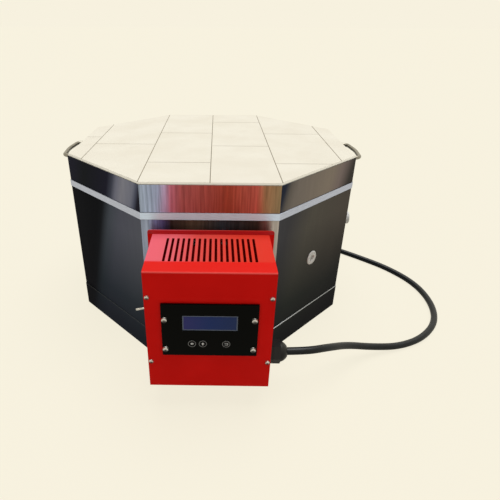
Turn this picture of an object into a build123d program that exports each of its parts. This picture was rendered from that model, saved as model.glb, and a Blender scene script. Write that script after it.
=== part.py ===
from build123d import *
import math
import os

# An eight-sided top-loading kiln: firebrick walls in a stainless jacket, a lift-off brick lid,
# and a red control box that stands off the front wall. Millimetres, +Z up, the front faces -Y.
# The origin is on the kiln's upright axis, at the underside of the base tray.

# Firebrick shell
side_count = 8
brick_length = 228.0
brick_height = 113.0
brick_thickness = 63.5
floor_thickness = 50.8
lid_thickness = 63.5
slab_edge_chamfer = 2.5

# Mortar joints that show on the lid and in the chamber floor
joint_width = 1.4
joint_depth = 0.8
inner_joint_x = 116.0
outer_joint_x = 240.0
left_inner_joint_y = -165.0
left_middle_joint_y = -38.0
left_outer_joint_y = 20.0
right_inner_joint_y = -48.0
right_middle_joint_y = -168.0
slab_brick_length = 228.0

# Stainless sheet work
sheet = 0.9
tray_rim = 51.0
lap_width = 26.0
jacket_drop = 0.6
lid_gap = 0.3
band_drop = 3.5

# Angle frame that carries the lid bricks
frame_leg = 12.0
frame_thickness = 2.0

# Element grooves, two to a brick, and the coiled elements that lie in them
groove_radius = 6.5
groove_depth = 14.5
groove_share = 0.25
coil_radius = 5.0
coil_lift = 0.1
tail_radius = 2.0
tail_x = 24.0
tail_reach = 12.0
bushing_radius = 4.5
bushing_reach = 5.0

# Peepholes, drilled on the joint between the two courses
peephole_radius = 14.4
plug_clearance = 0.3
plug_length = 73.5
plug_recess_radius = 6.8
plug_recess_depth = 5.0
plug_edge = 1.2
front_plug_proud = 1.5
side_plug_proud = 40.0

# Thermocouple through the front wall
probe_radius = 4.0
probe_reach = 25.0
probe_head_width = 26.0
probe_head_height = 18.0
probe_head_depth = 16.0

# Lift handles on the lid, bent from round bar, the grip slightly bowed
handle_rod = 8.0
handle_length = 104.0
handle_proud = 33.0
handle_bend = 12.0
handle_bow = 5.0
handle_bow_radius = 150.0
handle_drop = 21.0
handle_foot_radius = 8.0
handle_foot = 1.5
handle_screw_radius = 2.0
handle_screw_head = 4.0
handle_screw_head_height = 2.4
handle_screw_grip = 10.0

# Control box
box_x = 2.0
box_width = 190.0
box_height = 213.0
box_depth = 121.0
box_base = 48.0
box_sheet = 1.2
box_bend = 2.4
plate_ear = 8.5
plate_top_lip = 7.0
plate_sheet = 1.5
plate_corner = 4.0
standoff_length = 18.5
standoff_radius = 6.0
chassis_flange = 8.0
slot_number = 17
slot_pitch = 8.5
slot_width = 4.0
slot_length = 75.0
slot_back = 15.0
slot_corner = 0.8

# Screws of the box
cover_screw_inset = 4.8
cover_screw_low = 51.8
cover_screw_drop = 42.4
small_screw_radius = 2.0
small_screw_head = 3.9
small_screw_length = 8.0
small_head_height = 2.2
mount_screw_inset = 11.0
mount_screw_low = 18.0
mount_screw_drop = 18.0
mount_screw_grip = 40.0

# Fascia, display, keys and board
fascia_width = 143.5
fascia_height = 94.0
fascia_centre_x = 0.6
fascia_centre_z = 114.2
fascia_thickness = 3.0
fascia_corner = 1.0
fascia_screw_x = 66.4
fascia_screw_gap = 54.6
fascia_screw_head = 4.9
fascia_screw_radius = 2.4
fascia_head_height = 2.8
window_width = 82.0
window_height = 27.0
window_x = 1.0
window_z = 127.7
window_set_back = 0.8
display_rim = 7.0
display_depth = 7.5
key_radius = 6.6
key_gap = 0.3
key_z = 90.4
key_left_x = -26.1
key_up_x = -9.7
key_enter_x = 25.5
key_proud = 1.0
key_flange = 1.2
key_flange_height = 1.4
board_gap = 10.0
board_sheet = 1.6
board_spacer_radius = 4.2
key_switch_width = 6.0
key_switch_height = 4.0
key_switch_bore = 2.1
key_stem_radius = 2.0
key_stem_grip = 1.0
key_play = 0.1
transformer_width = 40.0
transformer_height = 18.0
converter_width = 34.0
converter_height = 22.0
board_part_depth = 12.0
board_part_x = 34.0
board_part_z = 20.0
board_width = 142.0
board_height = 86.0
cover_window_width = 114.0
cover_window_height = 84.0

# Parts on the back plate
relay_width = 44.0
relay_height = 50.0
relay_depth = 30.0
relay_z = 78.0
terminal_width = 46.0
terminal_height = 18.0
terminal_depth = 18.0
terminal_z = 60.0
terminal_ways = 4

# Toggle switch on the left side of the box
switch_y = 60.0
switch_z = 110.0
switch_bush_radius = 6.0
switch_bush_proud = 9.0
switch_bore_radius = 3.75
switch_body_width = 28.0
switch_body_height = 16.0
switch_body_depth = 24.0
switch_tag_sheet = 0.8
switch_nut_flats = 16.0
switch_nut_height = 3.0
lever_ball_radius = 3.7
lever_root_radius = 1.3
lever_tip_radius = 2.0
lever_length = 22.0
lever_tilt = 12.0
lever_pivot = 4.0

# Cord gland on the right side of the box
gland_y = 69.0
gland_z = 30.0
gland_flats = 36.0
gland_hex_height = 9.0
gland_thread_radius = 15.8
gland_inside = 13.0
gland_nut_start = 9.4
gland_nut_hex = 13.0
gland_length = 34.0
gland_nose_radius = 9.5
gland_dome_radius = 17.4
gland_neck_radius = 14.8
gland_neck_length = 12.0
gland_play = 0.8
hex_sides = 6
gland_bore = 7.2
gland_locknut_flats = 38.0
gland_locknut_height = 6.0
thread_clearance = 0.2

# Power cord
cord_radius = 6.5
cord_grip = 8.0
cord_press = 0.1
coil_centre_x = 130.0
coil_centre_y = 388.0
coil_turn_radius = 73.0
coil_turns = 2.25
coil_height = 2 * cord_radius * (1 + coil_turns)
coil_slack = 0.3
arc_share = 0.45

# Mains plug
plug_axis_z = 14.0
plug_mouth_x = 8.0
plug_half_width = 17.0
plug_body_length = 46.0
plug_sleeve_length = 34.0
plug_sleeve_radius = 9.5
plug_round = 6.0
blade_length = 18.0
blade_width = 6.4
blade_sheet = 1.6
blade_spacing = 12.7
earth_radius = 2.4
earth_length = 21.0
earth_offset = 7.4
blade_offset = 4.5

# Seam screws
seam_screw_radius = 1.8
seam_screw_head = 4.0
seam_head_height = 2.2
seam_screw_length = 9.0
seam_screw_number = 4
hole_clearance = 0.2
head_taper = 18.0
recess_width = 0.9

half_side = 180 / side_count
side_slope = math.tan(math.radians(half_side))
corner_reach = 1 / math.cos(math.radians(half_side))
brick_apothem = brick_length / 2 / side_slope
inner_apothem = brick_apothem - brick_thickness
jacket_apothem = brick_apothem + sheet
tray_apothem = jacket_apothem + sheet
floor_top = sheet + floor_thickness
joint_height = floor_top + brick_height
wall_top = joint_height + brick_height
lid_base = wall_top + lid_gap
lid_top = lid_base + lid_thickness
plate_back = jacket_apothem + standoff_length
plate_front = plate_back + plate_sheet
box_front = plate_front + box_depth
box_top = box_base + box_height
plate_width = box_width + 2 * plate_ear
cover_screw_x = box_width / 2 - cover_screw_inset
cover_screw_high = box_height - cover_screw_drop
mount_screw_x = box_width / 2 - mount_screw_inset
mount_screw_high = box_height - mount_screw_drop
groove_heights = (groove_share * brick_height, (1 - groove_share) * brick_height)
element_apothem = inner_apothem + groove_depth - groove_radius
element_drop = groove_radius - coil_radius - coil_lift
plug_radius = peephole_radius - plug_clearance

sides = ("front", "front_right", "right", "back_right", "back", "back_left", "left", "front_left")
side_turn = {side: 360 / side_count * place for place, side in enumerate(sides)}
courses = {"lower": floor_top, "upper": joint_height}
peepholes = {"front_right": front_plug_proud, "right": side_plug_proud}

os.makedirs("parts", exist_ok=True)


def finish(piece, name):
    """Label a finished piece and write it as its own file."""
    piece.part.label = name
    export_step(piece.part, f"parts/{name}.step")


def octagon(apothem, mode=Mode.ADD):
    """Eight-sided outline with flats to the front, back and sides."""
    RegularPolygon(apothem, side_count, major_radius=False, rotation=half_side, mode=mode)


def octagon_ring(outer, inner):
    """Eight-sided ring between two apothems."""
    octagon(outer)
    octagon(inner, Mode.SUBTRACT)


def side_directions(side):
    """Unit vectors along a side of the octagon and out of it."""
    turn = math.radians(side_turn[side])
    along = Vector(math.cos(turn), math.sin(turn), 0)
    outward = Vector(math.sin(turn), -math.cos(turn), 0)
    return along, outward


def face_plane(side, reach, height, shift=0):
    """Upright plane on a side of the octagon, facing outwards."""
    along, outward = side_directions(side)
    origin = outward * reach + along * shift + Vector(0, 0, height)
    return Plane(origin=origin, x_dir=along, z_dir=outward)


def control_plane(height=0, shift=0, out=0):
    """Upright plane on the front of the control box, measured from its lower edge."""
    origin = (box_x + shift, -(box_front + out), box_base + height)
    return Plane(origin=origin, x_dir=(1, 0, 0), z_dir=(0, -1, 0))


def box_side_plane(hand, back, height):
    """Upright plane on a side of the control box, hand +1 right or -1 left, facing outwards."""
    origin = (box_x + hand * box_width / 2, -(plate_front + back), box_base + height)
    return Plane(origin=origin, x_dir=(0, hand, 0), z_dir=(hand, 0, 0))


def drill(plane, radius, depth):
    """Round hole from a plane inwards."""
    with BuildSketch(plane) as outline:
        Circle(radius)
    extrude(outline.sketch, amount=-depth, mode=Mode.SUBTRACT)


def pin(plane, radius, length):
    """Round bar from a plane outwards, or inwards for a negative length."""
    with BuildSketch(plane) as outline:
        Circle(radius)
    extrude(outline.sketch, amount=length)


def pan_screw(plane, radius, length, head_radius, head_height):
    """Pan-head screw whose head stands on a plane, with a crowned head and a cross recess."""
    pin(plane, radius, -length)
    with BuildSketch(plane) as head:
        Circle(head_radius)
    extrude(head.sketch, amount=head_height, taper=head_taper)
    with BuildSketch(plane.offset(head_height)) as recess:
        Rectangle(head_radius, recess_width)
        Rectangle(recess_width, head_radius)
    extrude(recess.sketch, amount=-head_height / 2, mode=Mode.SUBTRACT)


def slab_joints(height, depth):
    """Mortar joints between the bricks of a slab, cut into its face at a height."""
    reach = brick_apothem * 2
    with BuildSketch(Plane.XY.offset(height)) as joints:
        for place in (-outer_joint_x, -inner_joint_x, 0, inner_joint_x, outer_joint_x):
            with Locations((place, 0)):
                Rectangle(joint_width, reach)
        inner_width = inner_joint_x
        middle_width = outer_joint_x - inner_joint_x
        middle_x = (outer_joint_x + inner_joint_x) / 2
        outer_width = brick_apothem - outer_joint_x
        outer_x = (brick_apothem + outer_joint_x) / 2
        cross_joints = (
            (-inner_width / 2, left_inner_joint_y, inner_width),
            (-inner_width / 2, left_inner_joint_y + slab_brick_length, inner_width),
            (-middle_x, left_middle_joint_y, middle_width),
            (-outer_x, left_outer_joint_y, outer_width),
            (inner_width / 2, right_inner_joint_y, inner_width),
            (inner_width / 2, right_inner_joint_y + slab_brick_length, inner_width),
            (middle_x, right_middle_joint_y, middle_width),
            (middle_x, right_middle_joint_y + slab_brick_length, middle_width),
        )
        for place_x, place_y, width in cross_joints:
            with Locations((place_x, place_y)):
                Rectangle(width, joint_width)
    extrude(joints.sketch, amount=-depth, mode=Mode.SUBTRACT)


# Base tray, folded from stainless sheet: the kiln stands on it
with BuildPart() as base_tray:
    with BuildSketch(Plane.XY):
        octagon(tray_apothem)
    extrude(amount=tray_rim)
    with BuildSketch(Plane.XY.offset(sheet)):
        octagon(jacket_apothem)
    extrude(amount=tray_rim, mode=Mode.SUBTRACT)
finish(base_tray, "base_tray")

# Floor slab of cemented firebricks, laid in the tray
with BuildPart() as floor_slab:
    with BuildSketch(Plane.XY.offset(sheet)):
        octagon(brick_apothem)
    extrude(amount=floor_thickness)
    slab_joints(floor_top, joint_depth)
finish(floor_slab, "floor_slab")

# Seam screws stand in a column on the back wall
seam_heights = [
    tray_rim + (wall_top - tray_rim) * (place + 0.5) / seam_screw_number
    for place in range(seam_screw_number)
]
tail_heights = [
    base + groove - element_drop for base in courses.values() for groove in groove_heights
]
mount_holes = [
    (box_x + hand * mount_screw_x, box_base + height)
    for hand in (-1, 1)
    for height in (mount_screw_low, mount_screw_high)
]
mount_screw_depth = mount_screw_grip - plate_front + brick_apothem


# Wall bricks, mitred at both ends, two grooves in the hot face, two courses of eight
for course, base in courses.items():
    for side in sides:
        along, outward = side_directions(side)
        with BuildPart() as wall_brick:
            with BuildSketch(Plane(origin=(0, 0, base), x_dir=along, z_dir=(0, 0, 1))):
                with BuildLine():
                    Polyline(
                        (-brick_apothem * side_slope, -brick_apothem),
                        (brick_apothem * side_slope, -brick_apothem),
                        (inner_apothem * side_slope, -inner_apothem),
                        (-inner_apothem * side_slope, -inner_apothem),
                        close=True,
                    )
                make_face()
            extrude(amount=brick_height)
            for groove in groove_heights:
                groove_plane = Plane(origin=(0, 0, base + groove), x_dir=outward, z_dir=along)
                mouth = inner_apothem - groove_depth
                with BuildSketch(groove_plane):
                    with Locations(((element_apothem + mouth) / 2, 0)):
                        SlotCenterToCenter(element_apothem - mouth, 2 * groove_radius)
                extrude(amount=brick_length, both=True, mode=Mode.SUBTRACT)
            if side in peepholes:
                drill(face_plane(side, brick_apothem, joint_height), peephole_radius, brick_thickness)
            if side == "front":
                drill(
                    face_plane(side, brick_apothem, joint_height),
                    probe_radius + hole_clearance,
                    brick_thickness,
                )
                for height in tail_heights:
                    if base < height < base + brick_height:
                        for hand in (-1, 1):
                            drill(
                                face_plane(side, brick_apothem, height, hand * tail_x),
                                bushing_radius + hole_clearance,
                                brick_apothem - element_apothem,
                            )
                for place, height in mount_holes:
                    if base < height < base + brick_height:
                        drill(
                            face_plane(side, brick_apothem, height, place),
                            small_screw_radius,
                            mount_screw_depth + hole_clearance,
                        )
            if side == "back":
                for height in seam_heights:
                    if base < height < base + brick_height:
                        drill(
                            face_plane(side, brick_apothem, height),
                            seam_screw_radius,
                            seam_screw_length,
                        )
        finish(wall_brick, f"{course}_brick_{side}")

# Stainless jacket round the walls, lapped at the back, its foot inside the tray's rim
with BuildPart() as body_jacket:
    with BuildSketch(Plane.XY.offset(sheet)):
        octagon_ring(jacket_apothem, brick_apothem)
    extrude(amount=wall_top - jacket_drop - sheet)
    lap_height = wall_top - jacket_drop - tray_rim
    with BuildSketch(face_plane("back", jacket_apothem, tray_rim + lap_height / 2)):
        Rectangle(lap_width, lap_height)
    extrude(amount=sheet)
    for side in peepholes:
        drill(face_plane(side, jacket_apothem, joint_height), peephole_radius, 2 * sheet)
    drill(face_plane("front", jacket_apothem, joint_height), probe_radius + hole_clearance, 2 * sheet)
    for height in tail_heights:
        for hand in (-1, 1):
            drill(
                face_plane("front", jacket_apothem, height, hand * tail_x),
                bushing_radius + hole_clearance,
                2 * sheet,
            )
    for place, height in mount_holes:
        drill(face_plane("front", jacket_apothem, height, place), small_screw_radius, 2 * sheet)
    for height in seam_heights:
        drill(face_plane("back", jacket_apothem + sheet, height), seam_screw_radius, 3 * sheet)
finish(body_jacket, "body_jacket")

with BuildPart() as jacket_screws:
    for height in seam_heights:
        pan_screw(
            face_plane("back", jacket_apothem + sheet, height),
            seam_screw_radius,
            seam_screw_length,
            seam_screw_head,
            seam_head_height,
        )
finish(jacket_screws, "jacket_screws")

# Heating elements: each coil lies in one groove all the way round and leaves by two tails
element_corner = element_apothem * corner_reach
for number, height in enumerate(tail_heights, start=1):
    coil_end = tail_x - 2 * tail_radius
    corner_turns = [-90 + half_side * (2 * place + 1) for place in range(side_count)]
    route = [(coil_end, -element_apothem, height)]
    for turn in corner_turns:
        corner = math.radians(turn)
        route.append((element_corner * math.cos(corner), element_corner * math.sin(corner), height))
    route.append((-coil_end, -element_apothem, height))
    with BuildPart() as heating_element:
        with BuildLine():
            Polyline(*route)
        with BuildSketch(Plane(origin=route[0], x_dir=(0, 1, 0), z_dir=(1, 0, 0))):
            Circle(coil_radius)
        sweep(transition=Transition.RIGHT)
        for hand in (-1, 1):
            pin(
                face_plane("front", element_apothem, height, hand * tail_x),
                tail_radius,
                plate_front + tail_reach - element_apothem,
            )
    finish(heating_element, f"heating_element_{number}")

# Ceramic bushings that carry the element tails through the wall and into the box
bushing_start = inner_apothem + groove_depth
with BuildPart() as element_bushings:
    for height in tail_heights:
        for hand in (-1, 1):
            with BuildSketch(face_plane("front", bushing_start, height, hand * tail_x)):
                Circle(bushing_radius)
                Circle(tail_radius + hole_clearance, mode=Mode.SUBTRACT)
            extrude(amount=plate_front + bushing_reach - bushing_start)
finish(element_bushings, "element_bushings")

# Thermocouple: ceramic sheath into the chamber, terminal head inside the box
with BuildPart() as thermocouple:
    probe_start = inner_apothem - probe_reach
    pin(
        face_plane("front", probe_start, joint_height),
        probe_radius,
        plate_front + probe_head_depth / 2 - probe_start,
    )
    with BuildSketch(face_plane("front", plate_front, joint_height)):
        RectangleRounded(probe_head_width, probe_head_height, plate_corner)
    extrude(amount=probe_head_depth)
    with BuildSketch(face_plane("front", plate_front + probe_head_depth, joint_height)):
        with GridLocations(probe_head_width / 2, 0, 2, 1):
            Circle(small_screw_radius)
    extrude(amount=-probe_head_depth / 4, mode=Mode.SUBTRACT)
finish(thermocouple, "thermocouple")

# Peephole plugs: cast ceramic, a finger recess in the outer end
for side, proud in peepholes.items():
    with BuildPart() as peephole_plug:
        pin(face_plane(side, jacket_apothem + proud, joint_height), plug_radius, -plug_length)
        chamfer(peephole_plug.edges().filter_by(GeomType.CIRCLE), plug_edge)
        drill(
            face_plane(side, jacket_apothem + proud, joint_height),
            plug_recess_radius,
            plug_recess_depth,
        )
    finish(peephole_plug, f"peephole_plug_{side}")

# Lid slab of cemented firebricks, rebated along its lower edge for the angle frame
handle_z = lid_top - handle_drop
handle_places = [
    (hand, place) for hand in ("left", "right") for place in (-handle_length / 2, handle_length / 2)
]
frame_inner = brick_apothem + frame_thickness - frame_leg
band_base = lid_base + frame_leg
band_height = lid_thickness - frame_leg - band_drop
band_screw_heights = [band_base + band_height * share for share in (0.25, 0.75)]
with BuildPart() as lid_slab:
    with BuildSketch(Plane.XY.offset(lid_base)):
        octagon(brick_apothem)
    extrude(amount=lid_thickness)
    chamfer(lid_slab.faces().sort_by(Axis.Z)[-1].edges(), slab_edge_chamfer)
    with BuildSketch(Plane.XY.offset(lid_base)):
        octagon_ring(brick_apothem, frame_inner)
    extrude(amount=frame_thickness, mode=Mode.SUBTRACT)
    slab_joints(lid_top, joint_depth)
    for side, place in handle_places:
        drill(
            face_plane(side, brick_apothem, handle_z, place),
            handle_screw_head + hole_clearance,
            handle_screw_head_height + hole_clearance,
        )
    for height in band_screw_heights:
        drill(face_plane("back", brick_apothem, height), seam_screw_radius, seam_screw_length)
finish(lid_slab, "lid_slab")

# Angle frame under the lid's edge: the foot of the band stands on it
with BuildPart() as lid_frame:
    with BuildSketch(Plane.XY.offset(lid_base)):
        octagon_ring(brick_apothem + frame_thickness, frame_inner)
    extrude(amount=frame_thickness)
    with BuildSketch(Plane.XY.offset(lid_base)):
        octagon_ring(brick_apothem + frame_thickness, brick_apothem)
    extrude(amount=frame_leg)
finish(lid_frame, "lid_frame")

# Band of polished stainless round the lid, lapped at the back
with BuildPart() as lid_band:
    with BuildSketch(Plane.XY.offset(band_base)):
        octagon_ring(jacket_apothem, brick_apothem)
    extrude(amount=band_height)
    with BuildSketch(face_plane("back", jacket_apothem, band_base + band_height / 2)):
        Rectangle(lap_width, band_height)
    extrude(amount=sheet)
    for side, place in handle_places:
        drill(face_plane(side, jacket_apothem, handle_z, place), handle_screw_radius, 2 * sheet)
    for height in band_screw_heights:
        drill(face_plane("back", jacket_apothem + sheet, height), seam_screw_radius, 3 * sheet)
finish(lid_band, "lid_band")

with BuildPart() as lid_band_screws:
    for height in band_screw_heights:
        pan_screw(
            face_plane("back", jacket_apothem + sheet, height),
            seam_screw_radius,
            seam_screw_length,
            seam_screw_head,
            seam_head_height,
        )
finish(lid_band_screws, "lid_band_screws")

# Lift handles: bent round bar with a foot at each end, held by screws from inside the band
for side in ("left", "right"):
    along, outward = side_directions(side)
    bar_origin = outward * jacket_apothem + Vector(0, 0, handle_z)
    with BuildPart() as handle:
        with BuildLine(Plane(origin=bar_origin, x_dir=along, z_dir=(0, 0, 1))):
            FilletPolyline(
                (-handle_length / 2, 0),
                (-handle_length / 2, handle_bow - handle_proud),
                (0, -handle_proud),
                (handle_length / 2, handle_bow - handle_proud),
                (handle_length / 2, 0),
                radius=(handle_bend, handle_bow_radius, handle_bend),
            )
        with BuildSketch(face_plane(side, jacket_apothem, handle_z, -handle_length / 2)):
            Circle(handle_rod / 2)
        sweep()
        for place in (-handle_length / 2, handle_length / 2):
            pin(face_plane(side, jacket_apothem, handle_z, place), handle_foot_radius, handle_foot)
        for place in (-handle_length / 2, handle_length / 2):
            drill(
                face_plane(side, jacket_apothem + handle_screw_grip, handle_z, place),
                handle_screw_radius,
                handle_screw_grip,
            )
    finish(handle, f"handle_{side}")

with BuildPart() as handle_screws:
    for side, place in handle_places:
        pin(
            face_plane(side, brick_apothem, handle_z, place),
            handle_screw_head,
            -handle_screw_head_height,
        )
        pin(
            face_plane(side, brick_apothem, handle_z, place),
            handle_screw_radius,
            sheet + handle_screw_grip,
        )
finish(handle_screws, "handle_screws")

# Control box chassis: back plate with ears, two side walls, inturned flanges for the cover
side_wall_height = box_height - 2 * box_sheet
plate_height = box_height + plate_top_lip
switch_plane = box_side_plane(-1, switch_y, switch_z)
gland_plane = box_side_plane(1, gland_y, gland_z)
with BuildPart() as control_chassis:
    with BuildSketch(face_plane("front", plate_back, box_base + plate_height / 2, box_x)):
        RectangleRounded(plate_width, plate_height, plate_corner)
    extrude(amount=plate_sheet)
    with BuildSketch(Plane(origin=(box_x, 0, box_base + box_sheet))):
        for hand in (-1, 1):
            edge = hand * box_width / 2
            with BuildLine():
                Polyline(
                    (edge, -plate_front),
                    (edge, -box_front + box_sheet),
                    (edge - hand * chassis_flange, -box_front + box_sheet),
                    (edge - hand * chassis_flange, -box_front + 2 * box_sheet),
                    (edge - hand * box_sheet, -box_front + 2 * box_sheet),
                    (edge - hand * box_sheet, -plate_front),
                    close=True,
                )
            make_face()
    extrude(amount=side_wall_height)
    for height in tail_heights:
        for hand in (-1, 1):
            drill(
                face_plane("front", plate_front, height, hand * tail_x),
                bushing_radius + hole_clearance,
                plate_sheet,
            )
    drill(face_plane("front", plate_front, joint_height), probe_radius + hole_clearance, plate_sheet)
    for place, height in mount_holes:
        drill(face_plane("front", plate_front, height, place), small_screw_radius, plate_sheet)
    for hand in (-1, 1):
        for height in (cover_screw_low, cover_screw_high):
            cover_hole = control_plane(height, hand * cover_screw_x, -box_sheet)
            drill(cover_hole, small_screw_radius, box_sheet)
    drill(switch_plane, switch_bush_radius + thread_clearance, box_sheet)
    drill(gland_plane, gland_thread_radius + thread_clearance, box_sheet)
finish(control_chassis, "control_chassis")

# Spacers keep the box off the hot wall, and long screws hold it there
with BuildPart() as chassis_standoffs:
    for place, height in mount_holes:
        with BuildSketch(face_plane("front", jacket_apothem, height, place)):
            Circle(standoff_radius)
            Circle(small_screw_radius + thread_clearance, mode=Mode.SUBTRACT)
        extrude(amount=standoff_length)
finish(chassis_standoffs, "chassis_standoffs")

with BuildPart() as chassis_screws:
    for place, height in mount_holes:
        pan_screw(
            face_plane("front", plate_front, height, place),
            small_screw_radius,
            mount_screw_grip,
            small_screw_head,
            small_head_height,
        )
finish(chassis_screws, "chassis_screws")

# Cover: one bent sheet for the top, front and underside, slotted on top
fascia_screw_heights = [(box_height + hand * fascia_screw_gap) / 2 for hand in (-1, 1)]
slot_centre_y = -(plate_front + slot_back + slot_length / 2)
with BuildPart() as control_cover:
    with BuildSketch(Plane(origin=(box_x, 0, 0), x_dir=(0, -1, 0), z_dir=(-1, 0, 0))):
        with BuildLine():
            Polyline(
                (plate_front, box_top),
                (box_front, box_top),
                (box_front, box_base),
                (plate_front, box_base),
                (plate_front, box_base + box_sheet),
                (box_front - box_sheet, box_base + box_sheet),
                (box_front - box_sheet, box_top - box_sheet),
                (plate_front, box_top - box_sheet),
                close=True,
            )
        make_face()
    extrude(amount=box_width / 2, both=True)
    fillet(control_cover.edges().filter_by(Axis.X).group_by(Axis.Y)[0], box_bend)
    with BuildSketch(Plane(origin=(box_x, slot_centre_y, box_top))):
        with GridLocations(slot_pitch, 0, slot_number, 1):
            RectangleRounded(slot_width, slot_length, slot_corner)
    extrude(amount=-box_sheet, mode=Mode.SUBTRACT)
    with BuildSketch(control_plane(fascia_centre_z, fascia_centre_x)):
        RectangleRounded(cover_window_width, cover_window_height, plate_corner)
    extrude(amount=-box_sheet, mode=Mode.SUBTRACT)
    for hand in (-1, 1):
        for height in (cover_screw_low, cover_screw_high):
            drill(control_plane(height, hand * cover_screw_x), small_screw_radius, box_sheet)
        for height in fascia_screw_heights:
            drill(control_plane(height, hand * fascia_screw_x), fascia_screw_radius, box_sheet)
finish(control_cover, "control_cover")

with BuildPart() as cover_screws:
    for hand in (-1, 1):
        for height in (cover_screw_low, cover_screw_high):
            pan_screw(
                control_plane(height, hand * cover_screw_x),
                small_screw_radius,
                small_screw_length,
                small_screw_head,
                small_head_height,
            )
finish(cover_screws, "cover_screws")

# Fascia: black sheet with a window, three key holes and four screws
key_places = {"left": key_left_x, "up": key_up_x, "enter": key_enter_x}
with BuildPart() as fascia:
    with BuildSketch(control_plane(fascia_centre_z, fascia_centre_x)):
        RectangleRounded(fascia_width, fascia_height, fascia_corner)
    extrude(amount=fascia_thickness)
    with BuildSketch(control_plane(window_z, window_x, fascia_thickness)):
        Rectangle(window_width, window_height)
    extrude(amount=-fascia_thickness, mode=Mode.SUBTRACT)
    for place in key_places.values():
        drill(control_plane(key_z, place, fascia_thickness), key_radius + key_gap, fascia_thickness)
    for hand in (-1, 1):
        for height in fascia_screw_heights:
            drill(
                control_plane(height, hand * fascia_screw_x, fascia_thickness),
                fascia_screw_radius,
                fascia_thickness,
            )
finish(fascia, "fascia")

fascia_screw_length = fascia_thickness + board_gap + board_sheet
with BuildPart() as fascia_screws:
    for hand in (-1, 1):
        for height in fascia_screw_heights:
            pan_screw(
                control_plane(height, hand * fascia_screw_x, fascia_thickness),
                fascia_screw_radius,
                fascia_screw_length,
                fascia_screw_head,
                fascia_head_height,
            )
finish(fascia_screws, "fascia_screws")

# Display: its glass stands in the window, its frame lies behind the fascia
with BuildPart() as display_module:
    with BuildSketch(control_plane(window_z, window_x)):
        RectangleRounded(
            window_width + 2 * display_rim, window_height + 2 * display_rim, fascia_corner
        )
    extrude(amount=-display_depth)
    with BuildSketch(control_plane(window_z, window_x)):
        Rectangle(window_width - hole_clearance, window_height - hole_clearance)
    extrude(amount=fascia_thickness - window_set_back)
finish(display_module, "display_module")

# Controller board on four swaged spacers, with a push switch under each key
board_centre = box_height / 2
board_back = board_gap + board_sheet
board_parts = (
    (-board_part_x, board_centre - board_part_z, transformer_width, transformer_height),
    (board_part_x, board_centre + board_part_z, converter_width, converter_height),
)
with BuildPart() as circuit_board:
    with BuildSketch(control_plane(board_centre, 0, -board_gap)):
        Rectangle(board_width, board_height)
    extrude(amount=-board_sheet)
    for hand in (-1, 1):
        for height in fascia_screw_heights:
            spacer_plane = control_plane(height, hand * fascia_screw_x, -box_sheet)
            pin(spacer_plane, board_spacer_radius, box_sheet - board_gap)
            drill(spacer_plane, fascia_screw_radius, board_back)
    for place in key_places.values():
        with BuildSketch(control_plane(key_z, place, -board_gap)):
            Rectangle(key_switch_width, key_switch_width)
        extrude(amount=key_switch_height)
        drill(
            control_plane(key_z, place, key_switch_height - board_gap),
            key_switch_bore,
            key_switch_height,
        )
    with BuildSketch(control_plane(window_z, window_x, -board_gap)):
        Rectangle(window_width, window_height / 2)
    extrude(amount=board_gap - display_depth)
    for place, height, width, tall in board_parts:
        with BuildSketch(control_plane(height, place, -board_back)):
            Rectangle(width, tall)
        extrude(amount=-board_part_depth)
finish(circuit_board, "circuit_board")

# Keys: flat caps with a rounded edge, a flange behind the fascia and a stem into the switch
key_shoulder = key_flange_height + key_play
key_stem = board_gap - key_switch_height - key_shoulder + key_stem_grip
for key_name, place in key_places.items():
    with BuildPart() as key:
        pin(control_plane(key_z, place, -key_play), key_radius, key_play + fascia_thickness + key_proud)
        fillet(key.faces().sort_by(Axis.Y)[0].edges(), key_proud / 2)
        pin(control_plane(key_z, place, -key_shoulder), key_radius + key_flange, key_flange_height)
        pin(control_plane(key_z, place, -key_shoulder), key_stem_radius, -key_stem)
    finish(key, f"key_{key_name}")

# Relay and terminal block on the back plate, midway between the bushings and the side walls
mid_plate_x = (tail_x + bushing_radius + box_width / 2 - box_sheet) / 2
with BuildPart() as power_relay:
    with BuildSketch(face_plane("front", plate_front, box_base + relay_z, box_x - mid_plate_x)):
        RectangleRounded(relay_width, relay_height, box_bend)
    extrude(amount=relay_depth)
    fillet(power_relay.faces().sort_by(Axis.Y)[0].edges(), box_bend / 2)
finish(power_relay, "power_relay")

with BuildPart() as terminal_block:
    block_plane = face_plane("front", plate_front, box_base + terminal_z, box_x + mid_plate_x)
    with BuildSketch(block_plane):
        Rectangle(terminal_width, terminal_height)
    extrude(amount=terminal_depth)
    way = terminal_width / terminal_ways
    with BuildSketch(block_plane.offset(terminal_depth)):
        with GridLocations(way, terminal_height / 2, terminal_ways, 2):
            Circle(way / 4)
    extrude(amount=-terminal_depth / 3, mode=Mode.SUBTRACT)
    with BuildSketch(block_plane.offset(terminal_depth)):
        with GridLocations(way, 0, terminal_ways - 1, 1):
            Rectangle(box_sheet, terminal_height)
    extrude(amount=-terminal_depth / 4, mode=Mode.SUBTRACT)
finish(terminal_block, "terminal_block")

# Toggle switch: body inside the box, threaded bush through the wall, nut and lever outside
switch_bore = switch_bush_proud - lever_pivot + lever_ball_radius + hole_clearance
with BuildPart() as switch_body:
    with BuildSketch(switch_plane.offset(-box_sheet)):
        RectangleRounded(switch_body_width, switch_body_height, fascia_corner)
    extrude(amount=-switch_body_depth)
    pin(switch_plane.offset(-box_sheet), switch_bush_radius, box_sheet + switch_bush_proud)
    drill(switch_plane.offset(switch_bush_proud), switch_bore_radius, switch_bore)
    for hand in (-1, 1):
        with BuildSketch(switch_plane.offset(-box_sheet - switch_body_depth)):
            with Locations((hand * switch_body_width / 4, 0)):
                Rectangle(switch_tag_sheet, blade_width)
        extrude(amount=-blade_width)
finish(switch_body, "switch_body")

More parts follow.
